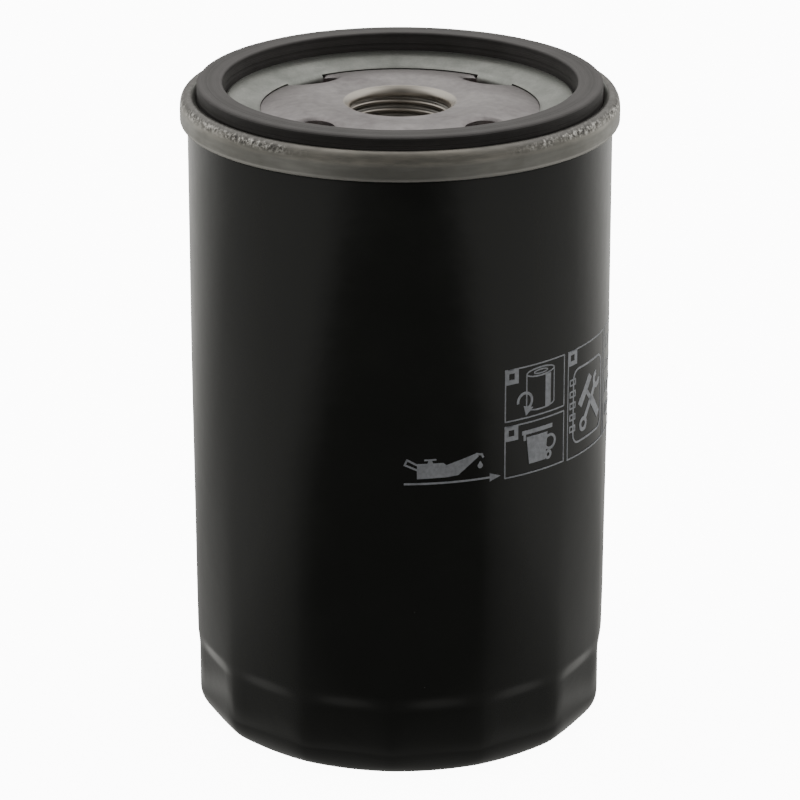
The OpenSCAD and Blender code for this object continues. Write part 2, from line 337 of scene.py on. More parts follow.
def zinc():
    """Zinc-coated sheet: grey-green, softly mottled, brighter where it is rubbed."""
    m = Nodes("zinc_sheet").set(Metallic=1.0)
    grain = m.noise(2600, 3, 0.6)
    cloud = m.noise(150, 5, 0.62)
    scratch = m.noise(380, 4, 0.65, m.stretched(1.0, 1.0, 9.0))
    tone = m.blend(cloud, grain, 0.25)
    base = m.mix(m.ramp(tone, [(0.32, 0.0), (0.68, 1.0)]), (0.335, 0.35, 0.33), (0.53, 0.54, 0.515))
    rubbed = m.times(m.ramp(scratch, [(0.56, 0.0), (0.70, 1.0)]),
                    m.ramp(cloud, [(0.42, 0.0), (0.62, 1.0)]))
    rubbed = m.times(rubbed, 0.35)
    m.link(m.mix(rubbed, base, (0.78, 0.78, 0.75)), "Base Color")
    m.link(m.ramp(tone, [(0.3, 0.52), (0.7, 0.36)]), "Roughness")
    m.bump((cloud, 0.25, 0.00012), (scratch, 0.15, 0.00006), (grain, 0.2, 0.00002))
    return m.mat


def seam_zinc():
    """The rolled seam: satin, drawn round its flank, with fine dents along its crown painted as bright
    glints and dark hollows, and painted light and shade on its flank, crown and foot.
    """
    m = Nodes("seam_zinc").set(Metallic=1.0)
    grain = m.noise(3000, 3, 0.6)
    cloud = m.noise(120, 5, 0.6)
    streak = m.noise(200, 4, 0.6, m.stretched(1.0, 1.0, 7.0))
    tone = m.blend(cloud, streak, 0.4)
    base = m.mix(m.ramp(tone, [(0.32, 0.0), (0.68, 1.0)]), (0.265, 0.26, 0.24), (0.38, 0.375, 0.35))
    height = m.above(22.4, 200.0)
    crown = m.ramp(height, [(0.28, 0.0), (0.46, 1.0)])
    ridge = m.ramp(height, [(0.36, 0.0), (0.50, 1.0), (0.60, 1.0), (0.68, 0.15)])
    # painted highlight: the seam's lower edge is painted light, with high roughness
    foot = m.ramp(m.above(110.75), [(0.1, 1.0), (0.6, 0.0)])
    sides = m.ramp(m.times(m.math("ABSOLUTE", m.axis("X"), 0.0), 25.0), [(0.2, 0.3), (0.6, 1.0)])
    dent = m.noise(1500, 4, 0.75)
    patch = m.times(m.noise(85, 4, 0.65), sides)
    # warm tint with a painted sheen: the upper flank is painted lighter and warmer, less so on the left and
    # right sides
    tan_and_sheen = m.times(m.ramp(height, [(0.22, 0.0), (0.36, 1.0)]), m.ramp(streak, [(0.35, 0.25), (0.6, 0.6)]))
    tan_and_sheen = m.times(tan_and_sheen, m.ramp(sides, [(0.3, 1.0), (1.0, 0.45)]))
    base = m.mix(tan_and_sheen, base, (0.72, 0.67, 0.59))
    worn_glint_patch = m.times(m.ramp(patch, [(0.32, 0.0), (0.48, 1.0)]), ridge)
    # painted glints: bright colour on the raised dents of the worn patches
    painted_glint = m.times(m.ramp(dent, [(0.50, 0.0), (0.60, 1.0)]), worn_glint_patch)
    # painted shade: dark colour in the dents' hollows
    painted_pit_shade = m.times(m.ramp(dent, [(0.40, 1.0), (0.50, 0.0)]), m.times(worn_glint_patch, 0.9))
    # painted shade: the top of the crown beside the gasket is darkened, mostly on the left and right sides
    inner = m.times(m.ramp(height, [(0.50, 0.0), (0.66, 0.8)]), sides)
    base = m.mix(inner, base, (0.17, 0.165, 0.165))
    base = m.mix(painted_pit_shade, base, (0.10, 0.095, 0.095))
    # painted highlights: the glints and the seam's lower edge
    painted_bright = m.math("MAXIMUM", painted_glint, m.times(foot, 0.6))
    m.link(m.mix(painted_bright, base, (0.9, 0.88, 0.84)), "Base Color")
    rough = m.math("SUBTRACT", m.ramp(tone, [(0.34, 0.46), (0.66, 0.36)]), m.times(painted_glint, 0.12))
    m.link(m.math("MAXIMUM", rough, m.times(foot, 0.78)), "Roughness")
    m.bump((m.noise(70, 3, 0.5), 0.2, 0.0006), (m.times(dent, worn_glint_patch), 0.8, 0.00016),
           (streak, 0.15, 0.00008), (grain, 0.2, 0.00002))
    return m.mat


def plate_steel():
    """Pressed and turned steel with a thin violet-grey phosphate and tool marks, a painted highlight round
    the mouth and painted light and shade on the thread.
    """
    m = Nodes("plate_steel").set(Metallic=1.0)
    grain = m.noise(2400, 4, 0.65)
    cloud = m.noise(110, 5, 0.62)
    fine = m.noise(700, 4, 0.6)
    rings = m.noise(1.0, 3, 0.7, m.rings_vector(2600))
    tone = m.blend(cloud, fine, 0.4)
    base = m.mix(m.ramp(tone, [(0.34, 0.0), (0.66, 1.0)]), (0.34, 0.315, 0.325), (0.52, 0.49, 0.495))
    # painted highlight: the rounded mouth inside about 10 mm radius is painted lighter and warmer
    painted_bright = m.ramp(m.times(m.radius(), 50.0), [(0.49, 1.0), (0.503, 0.0)])
    mouth_highlit_base = m.mix(painted_bright, base, (0.63, 0.585, 0.53))
    # painted light and shade on the thread in the bore: the crests keep the mouth's painted highlight, the
    # roots and flanks are painted darker
    bore = m.ramp(m.above(22.0, 200.0), [(0.30, 1.0), (0.48, 0.0)])
    bore = m.times(bore, m.ramp(m.times(m.radius(), 50.0), [(0.5, 1.0), (0.52, 0.0)]))
    crest = m.ramp(m.times(m.radius(), 100.0), [(0.886, 1.0), (0.905, 0.0)])
    flank = m.times(bore, m.math("SUBTRACT", 1.0, crest))
    m.link(m.mix(flank, mouth_highlit_base, (0.43, 0.415, 0.395)), "Base Color")
    rough = m.ramp(tone, [(0.3, 0.50), (0.7, 0.36)])
    m.link(m.math("SUBTRACT", rough, m.times(painted_bright, 0.12)), "Roughness")
    m.bump((cloud, 0.12, 0.00015), (fine, 0.2, 0.00005), (grain, 0.35, 0.00002), (rings, 0.12, 0.00003))
    return m.mat


def rubber(name, dark, light, rough_lo=0.45, rough_hi=0.62, rings=2300):
    """Moulded rubber with a bloom, fine grain and cutting rings."""
    m = Nodes(name).set(Specular_IOR_Level=0.45)
    cloud = m.noise(90, 5, 0.6)
    grain = m.noise(3200, 3, 0.7)
    ring = m.noise(1.0, 2, 0.6, m.rings_vector(rings))
    tone = m.blend(cloud, ring, 0.6)
    m.link(m.mix(m.ramp(tone, [(0.32, 0.0), (0.68, 1.0)]), dark, light), "Base Color")
    m.link(m.ramp(tone, [(0.3, rough_lo), (0.7, rough_hi)]), "Roughness")
    m.bump((ring, 0.8, 0.0002), (grain, 0.3, 0.00002), (cloud, 0.1, 0.0001))
    return m.mat


def printed_ink():
    """Pale grey screen ink, slightly uneven, with pinholes."""
    m = Nodes("printed_ink").set(Specular_IOR_Level=0.4)
    cover = m.noise(1500, 3, 0.6)
    cloud = m.noise(240, 3, 0.6)
    tone = m.blend(cover, cloud, 0.4)
    base = m.mix(m.ramp(tone, [(0.3, 0.0), (0.62, 1.0)]), (0.38, 0.395, 0.43), (0.62, 0.64, 0.69))
    m.link(base, "Base Color")
    m.link(m.ramp(tone, [(0.3, 0.5), (0.7, 0.36)]), "Roughness")
    m.bump((cover, 0.2, 0.00002))
    return m.mat


def paper():
    """Resin-treated filter paper: fibres and blotches."""
    m = Nodes("filter_paper")
    fibre = m.noise(900, 5, 0.75, m.stretched(1.0, 1.0, 0.35))
    blotch = m.noise(120, 4, 0.6)
    tone = m.blend(fibre, blotch, 0.4)
    base = m.mix(m.ramp(tone, [(0.3, 0.0), (0.7, 1.0)]), (0.58, 0.38, 0.14), (0.84, 0.68, 0.38))
    m.link(base, "Base Color")
    m.link(m.ramp(tone, [(0.3, 0.95), (0.7, 0.8)]), "Roughness")
    m.bump((fibre, 0.5, 0.00006), (blotch, 0.2, 0.0002))
    return m.mat


def bond():
    """Cured plastisol with small bubbles."""
    m = Nodes("bond")
    cells = m.voronoi(1300)
    cloud = m.noise(160, 4, 0.6)
    base = m.mix(m.ramp(cloud, [(0.3, 0.0), (0.7, 1.0)]), (0.21, 0.09, 0.055), (0.36, 0.18, 0.12))
    m.link(base, "Base Color")
    m.link(m.ramp(cells, [(0.1, 0.35), (0.6, 0.6)]), "Roughness")
    m.bump((cells, 0.4, 0.00008))
    return m.mat


def sealant():
    """Green-grey seaming compound."""
    m = Nodes("sealant")
    cloud = m.noise(300, 4, 0.6)
    m.link(m.mix(cloud, (0.07, 0.1, 0.06), (0.16, 0.2, 0.13)), "Base Color")
    m.link(m.ramp(cloud, [(0.3, 0.6), (0.7, 0.75)]), "Roughness")
    m.bump((cloud, 0.3, 0.00008))
    return m.mat


def metal(name, dark, light, rough_lo, rough_hi, stretch=(1.0, 1.0, 5.0)):
    """Plain worked metal with drawing marks."""
    m = Nodes(name).set(Metallic=1.0)
    cloud = m.noise(140, 5, 0.6)
    mark = m.noise(500, 4, 0.65, m.stretched(*stretch))
    tone = m.blend(cloud, mark, 0.5)
    m.link(m.mix(m.ramp(tone, [(0.34, 0.0), (0.66, 1.0)]), dark, light), "Base Color")
    m.link(m.ramp(tone, [(0.3, rough_hi), (0.7, rough_lo)]), "Roughness")
    m.bump((mark, 0.25, 0.00005), (cloud, 0.15, 0.0001))
    return m.mat


MATERIALS = {
    "can_paint": black_paint(),
    "zinc_sheet": zinc(),
    "plate_steel": plate_steel(),
    "gasket_rubber": rubber("gasket_rubber", (0.030, 0.028, 0.027), (0.094, 0.088, 0.087)),
    "sealant": sealant(),
    "valve_rubber": rubber("valve_rubber", (0.09, 0.028, 0.02), (0.19, 0.07, 0.05), 0.5, 0.7, 900),
    "tinned_sheet": metal("tinned_sheet", (0.48, 0.475, 0.44), (0.7, 0.69, 0.65), 0.25, 0.45),
    "tube_steel": metal("tube_steel", (0.34, 0.34, 0.33), (0.55, 0.55, 0.53), 0.3, 0.5),
    "filter_paper": paper(),
    "bond": bond(),
    "passivated_steel": metal("passivated_steel", (0.5, 0.45, 0.28), (0.72, 0.66, 0.46), 0.28, 0.45),
    "seal_rubber": rubber("seal_rubber", (0.015, 0.015, 0.015), (0.04, 0.04, 0.04)),
    "spring_steel": metal("spring_steel", (0.22, 0.225, 0.24), (0.42, 0.425, 0.44), 0.28, 0.45,
                          (1.0, 1.0, 1.0)),
}

for part in frame["record"]["subparts"]:
    node = frame["nodes"][part["node"]]
    for holder in node.material_slots:
        holder.material = MATERIALS[part["material_slot"]]

# ---- can ---------------------------------------------------------------------------------

BAND_R = 36.7                                # rounded edges between the flats
CORNER_R = 5.3
SHOULDER_TOP = 24.0                          # the wall above this has the can's full radius
TRACE_TOP = 76.0                             # where the trace of the flats ends


def flat_radius(a):
    """Radius of the fourteen-sided band at angle a."""
    step = 2 * PI / FLATS
    phi = (a - FIRST_FLAT + step / 2) % step - step / 2
    return soft_min(APOTHEM / math.cos(phi), BAND_R + 0.12, 0.34)


def can_shape(r, z, a, i):
    """Moves the can's outer wall in to the flats, with a faint trace of them that fades out up the wall."""
    if z > TRACE_TOP:
        return r, z
    rise = (0.55 * smooth(13.0, 16.4, z) + 0.12 * smooth(14.5, 25.0, z)
            + 0.33 * smooth(18.0, TRACE_TOP - 2.0, z))
    inward = smooth(32.8, 36.3, r)
    base = BAND_R if z < SHOULDER_TOP else CAN_R
    return r + ((flat_radius(a) - base) * (1 - rise) + (CAN_R - base) * rise) * inward, z


def can_outline():
    """The can's sheet in section, from the middle of the closed end to the hook inside the seam."""
    t = SHEET / 2
    base = [(0.001, 1.2 + t), (14.0, 1.2 + t), (19.0, 1.15 + t), (20.5, 0.95 + t), (22.5, 0.35 + t),
            (24.0, 0.05 + t), (25.5, t)]
    corner = arc(BAND_R - CORNER_R, CORNER_R, CORNER_R - t, -90, 0, 20)
    band = [(BAND_R - t, z) for z in (6.5, 8, 9.5, 11, 12, 12.6)]
    shoulder = [(BAND_R - t, 12.6 + 0.3 * i) for i in range(1, 16)]
    shoulder += [(BAND_R - t, 17.1 + 0.6 * i) for i in range(1, 12)]
    heights = (24.6, 27, 30, 33, 37, 42, 47, 52, 57, 62, 67, 72, 82, 92, 102, 107, 110, 112, 113.6)
    wall = [(CAN_R - t, z) for z in heights]
    hook = arc(CAN_R - t + 0.43, 114.1, 0.43, 180, 0, 8) + [(CAN_R - t + 0.86, 111.8)]
    path = base + corner + band + shoulder + wall + hook
    left, right = [], []
    for i, p in enumerate(path):
        q0, q1 = path[max(i - 1, 0)], path[min(i + 1, len(path) - 1)]
        dx, dz = q1[0] - q0[0], q1[1] - q0[1]
        # can_shape makes the small step in radius above the flats
        if CORNER_R + 0.1 < p[1] < SHOULDER_TOP + 1:
            dx, dz = 0.0, 1.0
        d = math.hypot(dx, dz)
        left.append((p[0] - dz / d * t, p[1] + dx / d * t))
        right.append((p[0] + dz / d * t, p[1] - dx / d * t))
    return left + right[::-1]


can = add_object("can_shell", turned(can_outline(), 448, can_shape), "housing",
                 MATERIALS["can_paint"])
sharpen(can, 50)
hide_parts("can")

# ---- lid with its rolled seam --------------------------------------------------------------

WALL_R = CAN_R - SHEET - 0.03 - SHEET / 2    # the gasket's groove at its floor
SEAM_IN_R = GASKET_RO + 0.05 + SHEET / 2     # the groove's wall leans in over the gasket
SEAM_OUT_R = SEAM_R - SHEET / 2
SEAM_TOP = FLANGE_Z + 2.65
SEAM_FOOT = FLANGE_Z - 0.15
FOOT_HALF = math.radians(10.2)
FEET = [PI / 4 + PI / 2 * i for i in range(4)]
LID_SEGMENTS = 720


def turn_from(a, middle):
    """The turn from a direction to angle a, between -PI and PI."""
    return (a - middle + PI) % (2 * PI) - PI


def lid_bmesh():
    """The lid's mid-surface: the ring round the opening, the groove, the rolled seam and four bent feet."""
    floor_z = FLANGE_Z + 0.23
    mid = (SEAM_IN_R + SEAM_OUT_R) / 2
    half = (SEAM_OUT_R - SEAM_IN_R) / 2
    ring = ([(LID_OPEN_R, FLANGE_Z + 1.35), (LID_OPEN_R + 0.22, FLANGE_Z + 1.53),
             (LID_OPEN_R + 0.55, FLANGE_Z + 1.66), (LID_OPEN_R + 0.9, FLANGE_Z + 1.73),
             (LID_OPEN_R + 1.8, FLANGE_Z + 1.98), (LID_OPEN_R + 3.4, FLANGE_Z + 2.5)]
            + arc(GASKET_RI - 1.05, FLANGE_Z + 2.25, 0.8, 80, 0, 6)
            + arc(GASKET_RI + 0.25, floor_z + 0.5, 0.5, 180, 270, 6)
            + arc(WALL_R - 0.5, floor_z + 0.5, 0.5, 270, 355, 6)
            + [(mid - half * math.cos(t), SEAM_TOP + (half + 0.2) * math.sin(t)) for t in
               (PI / 2 * i / 7 for i in range(7))]
            + [(mid + half * math.sin(t) ** 0.88, SEAM_TOP - 0.8 + (half + 1.0) * math.cos(t)) for t in
               (PI / 2 * i / 14 for i in range(15))]
            + [(SEAM_OUT_R + 0.02, 112.7), (SEAM_OUT_R + 0.01, 112.2), (SEAM_OUT_R, 111.5)]
            + arc(SEAM_OUT_R - 0.42, SEAM_FOOT - 0.02, 0.42, 0, -170, 12)
            + [(SEAM_OUT_R - 0.85, 112.2), (SEAM_OUT_R - 0.85, 113.4)])
    foot = [(LID_OPEN_R - d, FLANGE_Z + h) for d, h in
            ((0.16, 1.25), (0.3, 1.12), (0.42, 0.97), (0.5, 0.8), (0.56, 0.6), (0.6, 0.4), (0.6, 0.06))]
    bm = bmesh.new()
    ring_cols, foot_cols = [], []
    for k in range(LID_SEGMENTS):
        a = 2 * PI * k / LID_SEGMENTS
        c, s = math.cos(a), math.sin(a)
        near = min(abs(turn_from(a, f)) for f in FEET)
        pull = 1 - smooth(FOOT_HALF, FOOT_HALF + 0.035, near)
        col = []
        for i, (r, z) in enumerate(ring):
            wob = noise.noise(Vector((r * c * 0.16, r * s * 0.16, z * 0.3)))
            fine = noise.noise(Vector((r * c * 0.7, r * s * 0.7, z * 1.2)))
            on_seam = smooth(37.0, 37.8, r)
            r2 = r + (0.04 * wob + 0.015 * fine) * on_seam
            z2 = z + (0.03 * fine + 0.03 * wob) * on_seam
            if i == 0:
                r2 -= 0.06 * pull
            col.append(bm.verts.new((r2 * c, r2 * s, z2)))
        ring_cols.append(col)
        if near <= FOOT_HALF + 0.002:
            # the foot's corners are rounded
            short = smooth(FOOT_HALF - 0.03, FOOT_HALF, near) * 0.25
            foot_cols.append([bm.verts.new((r * c, r * s, z + short * i / (len(foot) - 1)))
                              for i, (r, z) in enumerate(foot)])
        else:
            foot_cols.append(None)
    for k in range(LID_SEGMENTS):
        c0, c1 = ring_cols[k], ring_cols[(k + 1) % LID_SEGMENTS]
        for i in range(len(ring) - 1):
            bm.faces.new((c0[i], c1[i], c1[i + 1], c0[i + 1]))
        f0, f1 = foot_cols[k], foot_cols[(k + 1) % LID_SEGMENTS]
        if f0 and f1:
            bm.faces.new((f0[0], f1[0], c1[0], c0[0]))
            for i in range(len(foot) - 1):
                bm.faces.new((f0[i + 1], f1[i + 1], f1[i], f0[i]))
    return bm


lid = add_object("lid", lid_bmesh(), "housing", MATERIALS["zinc_sheet"])
solid = lid.modifiers.new("sheet", "SOLIDIFY")
solid.thickness = SHEET * MM
solid.offset = 0.0
solid.use_even_offset = True
apply_modifiers(lid)
lid.data.materials.append(seam_zinc())
for poly in lid.data.polygons:
    if math.hypot(poly.center.x, poly.center.y) / MM > SEAM_IN_R + 0.55:
        poly.material_index = 1
sharpen(lid, 40)
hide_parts("seaming_lid")

# ---- base plate with its thread ------------------------------------------------------------

PITCH = 25.4 / 16
THREAD_DEPTH = 0.55
THREAD_CREST = 0.10                          # widths of crest and root, as shares of the pitch
THREAD_ROOT = 0.14
THREAD_ROWS = 24                             # mesh rows for one turn
EDGE_ROLL = 0.9
MOUTH_WIDTH = 1.15                           # the rounded mouth over the thread
MOUTH_DEPTH = 1.3


def thread(a, z):
    """Depth of a right-handed thread below its crests, as a share of the whole depth."""
    t = ((z + 0.58) / PITCH - a / (2 * PI)) % 1.0
    t = min(abs(t - THREAD_CREST / 2), 1.0 - abs(t - THREAD_CREST / 2))
    return smooth(THREAD_CREST / 2, 0.5 - THREAD_ROOT / 2, t)


def plate_bmesh():
    """The plate with its thread, mouth, raised centre and rolled inlet edges, before the inlets are cut."""
    under = DOME_Z - PLATE_T
    bore_top = DOME_Z - MOUTH_DEPTH - 0.05
    bore_low = NECK_BOTTOM + 0.4
    rows = int((bore_top - bore_low) / PITCH * THREAD_ROWS)
    bore = [(BORE_R, bore_low + (bore_top - bore_low) * i / rows) for i in range(rows + 1)]
    mouth = [(BORE_R + MOUTH_WIDTH * (1 - math.cos(t)) / (1 - math.cos(PI / 3)),
              bore_top + MOUTH_DEPTH * math.sin(t) / math.sin(PI / 3))
             for t in (PI / 3 * i / 14 for i in range(1, 15))]

    def crown_z(r):
        ridge = 0.32 * smooth(11.0, 15.6, r) - 1.53 * (max(r - 15.6, 0) / 8.9) ** 1.7
        return DOME_Z - 0.04 + ridge

    def step(r0, z0, r1, z1, n):
        return [(r0 + (r1 - r0) * i / n, z0 + (z1 - z0) * (1 - math.cos(PI * i / n)) / 2)
                for i in range(n + 1)]

    crown_radii = [10.2, 10.6, 11.2, 11.8, 12.4, 13.0, 13.6, 14.2, 14.8, 15.4, 15.9, 16.4]
    crown_radii += [16.8 + 0.35 * i for i in range(23)]
    crown = [(r, crown_z(r)) for r in crown_radii]
    top = [(24.85, FLANGE_Z + 1.1), (24.9, FLANGE_Z + 0.6)] + [(r, FLANGE_Z) for r in (24.9, 26, 28, 32)]
    rim = (arc(FLANGE_R - 0.4, FLANGE_Z - 0.4, 0.4, 90, 0, 4)
           + arc(FLANGE_R - 0.3, FLANGE_Z - PLATE_T + 0.3, 0.3, 0, -90, 4))
    below = [(27, FLANGE_Z - PLATE_T)] + step(22.9, FLANGE_Z - PLATE_T, 20.7, under, 10)
    neck = (arc(NECK_R + 1.2, under - 1.2, 1.2, 90, 180, 6)
            + [(NECK_R, NECK_BOTTOM + 0.5), (NECK_R - 0.5, NECK_BOTTOM), (BORE_R + 0.4, NECK_BOTTOM)])
    outline = bore + mouth + crown + top + rim + below + neck
    last = len(bore)

    def shape(r, z, a, i):
        if i < last:
            fade = smooth(DOME_Z - 1.5, DOME_Z - 2.1, z) * smooth(NECK_BOTTOM + 0.2, NECK_BOTTOM + 1.2, z)
            r += THREAD_DEPTH * thread(a, z) * fade
        elif r > 15 and z > FLANGE_Z + 0.1:
            swing = min((turn_from(a, f) for f in FEET), key=abs)
            # the inlets' upper edges are rounded by the punch
            u, v = r * math.cos(swing) - INLET_RING_R, r * math.sin(swing)
            side = max(abs(v) - (INLET_L - INLET_W) / 2, 0)
            gap = min(max(math.hypot(u, side) - INLET_W / 2, -0.3) / EDGE_ROLL, 1.0)
            z -= 0.5 * EDGE_ROLL * (1 - gap) ** 2
            if abs(swing) < FOOT_HALF + 0.017 and r > 23.3:
                z = FLANGE_Z
        return r, z

    return turned(outline, 288, shape)


def inlet_cutters():
    """An object of four posts that cut the inlets."""
    bm = bmesh.new()
    half = (INLET_L - INLET_W) / 2
    oval = arc(0, half, INLET_W / 2, 0, 180, 24) + arc(0, -half, INLET_W / 2, 180, 360, 24)
    for foot_angle in FEET:
        ux, uy = math.cos(foot_angle) * MM, math.sin(foot_angle) * MM
        rings = [[bm.verts.new(((INLET_RING_R + u) * ux - v * uy, (INLET_RING_R + u) * uy + v * ux, z * MM))
                  for u, v in oval] for z in (FLANGE_Z - PLATE_T - 1, DOME_Z + 1)]
        bm.faces.new(rings[0][::-1])
        bm.faces.new(rings[1])
        for i in range(len(oval)):
            j = (i + 1) % len(oval)
            bm.faces.new((rings[0][i], rings[0][j], rings[1][j], rings[1][i]))
    bmesh.ops.recalc_face_normals(bm, faces=bm.faces)
    mesh = bpy.data.meshes.new("cutters")
    bm.to_mesh(mesh)
    bm.free()
    obj = bpy.data.objects.new("cutters", mesh)
    bpy.context.collection.objects.link(obj)
    return obj


plate = add_object("threaded_plate", plate_bmesh(), "housing", MATERIALS["plate_steel"])
cutter = inlet_cutters()
cut = plate.modifiers.new("inlets", "BOOLEAN")
cut.operation = "DIFFERENCE"
cut.object = cutter
cut.solver = "EXACT"
apply_modifiers(plate)
bpy.data.objects.remove(cutter)
for poly in plate.data.polygons:
    poly.use_smooth = True
sharpen(plate, 32)
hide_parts("base_plate")

# ---- gasket --------------------------------------------------------------------------------

GASKET_TOP = HEIGHT + 0.2                    # the rubber stands a little proud of its nominal height


def gasket_outline():
    """The square-cut ring in section, with its outer top edge rounded off."""
    low = gasket_low[2]
    ri, ro, e = GASKET_RI, GASKET_RO, 0.4
    return ([(ri + 0.4, low), (ro - 0.4, low), (ro, low + 0.4)]
            + [(ro + 0.02 * math.sin(PI * i / 6), low + 0.4 + (GASKET_TOP - low - 1.0) * i / 7)
               for i in range(1, 7)]
            + [(ro - 0.8 * (1 - math.cos(t)), GASKET_TOP - 0.55 * (1 - math.sin(t))) for t in
               (PI / 2 * i / 8 for i in range(9))]
            + [(ri + 3.2, GASKET_TOP - 0.01), (ri + 2.25, GASKET_TOP - 0.03), (ri + 1.3, GASKET_TOP - 0.02)]
            + arc(ri + e, GASKET_TOP - e, e, 90, 180, 6)
            + [(ri, low + 0.4 + (GASKET_TOP - low - 0.4 - e) * i / 6) for i in range(5, -1, -1)])


def gasket_shape(r, z, a, i):
    """Slight waves, as rubber lies in its groove."""
    p = Vector((math.cos(a) * 5, math.sin(a) * 5, z * 0.05))
    if z > gasket_low[2] + 2:
        r += 0.05 * noise.noise(p * 1.3)
        z += 0.03 * (noise.noise(p + Vector((9, 0, 0))) - 1)
    return r, z


gasket = add_object("gasket_ring", turned(gasket_outline(), 288, gasket_shape), "housing",
                    MATERIALS["gasket_rubber"])
sharpen(gasket, 45)
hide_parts("gasket")

# ---- printed panel ---------------------------------------------------------------------------

INK_T = 0.045
LINE = 0.25
ink_polys = []                               # polygons in (arc length, height), in millimetres


def stroke(points, width):
    """A line of given width through points, as one quad per stretch with square ends."""
    for (x0, z0), (x1, z1) in zip(points, points[1:]):
        d = math.hypot(x1 - x0, z1 - z0)
        ux, uz = (x1 - x0) / d * width / 2, (z1 - z0) / d * width / 2
        ink_polys.append([(x0 - ux - uz, z0 - uz + ux), (x0 - ux + uz, z0 - uz - ux),
                          (x1 + ux + uz, z1 + uz - ux), (x1 + ux - uz, z1 + uz + ux)])


def frame_box(x0, z0, x1, z1, r, width=LINE):
    """A rounded frame, as one band of quads."""
    outer, inner = [], []
    corners = ((x1 - r, z1 - r, 0), (x0 + r, z1 - r, 90), (x0 + r, z0 + r, 180), (x1 - r, z0 + r, 270))
    for cx, cz, a in corners:
        outer += arc(cx, cz, r, a, a + 90, 6)
        inner += arc(cx, cz, r - width, a, a + 90, 6)
    n = len(outer)
    for i in range(n):
        j = (i + 1) % n
        ink_polys.append([outer[i], outer[j], inner[j], inner[i]])


def ring_band(cx, cz, r, width, a0=0, a1=360, n=28):
    """A ring or part of one, inside radius r."""
    outer, inner = arc(cx, cz, r, a0, a1, n), arc(cx, cz, r - width, a0, a1, n)
    for i in range(n):
        ink_polys.append([outer[i], outer[i + 1], inner[i + 1], inner[i]])


def fill(points):
    ink_polys.append(points)


def drop(x, z, s):
    """A drop of oil of radius s."""
    fill([(x, z + 1.5 * s)] + [(x + s * math.cos(t) * 0.8, z + s * math.sin(t) * 0.8) for t in
                              (math.radians(50 - 280 * i / 14) for i in range(15))])


def roller(x, z, w, h):
    """A cartridge, seen from above its side: two ovals and a shaded wall."""
    lift = 0.9

    def oval(cx, cz, rx, rz, width, a0=0, a1=360, n=26):
        outer = [(cx + rx * math.cos(t), cz + rz * math.sin(t)) for t in
                 (math.radians(a0 + (a1 - a0) * i / n) for i in range(n + 1))]
        k = 1 - width / rx
        inner = [(cx + (px - cx) * k, cz + (pz - cz) * (1 - width / rz)) for px, pz in outer]
        for i in range(n):
            ink_polys.append([outer[i], outer[i + 1], inner[i + 1], inner[i]])

    oval(x, z + h, w / 2, lift, 0.3)
    oval(x, z + h, w / 4, lift / 2, 0.24)
    stroke([(x - w / 2 + 0.12, z + h), (x - w / 2 + 0.12, z + 0.2)], 0.24)
    stroke([(x + w / 2 - 0.12, z + h), (x + w / 2 - 0.12, z + 0.2)], 0.24)
    oval(x, z + 0.2, w / 2, lift, 0.28, 180, 360, 14)
    fill([(x + w * 0.16, z + h - 0.9), (x + w * 0.36, z + h - 0.75), (x + w * 0.36, z - 0.35),
          (x + w * 0.16, z - 0.55)])


def corner_tile(x, z):
    """A small filled tile with a square left open in it."""
    size, gap = 2.8, 0.84
    x1, z0 = x + size, z - size
    for box in ((x, z - gap, x1, z), (x, z0, x1, z0 + gap), (x, z0 + gap, x + gap, z - gap),
                (x1 - gap, z0 + gap, x1, z - gap)):
        fill([(box[0], box[1]), (box[2], box[1]), (box[2], box[3]), (box[0], box[3])])


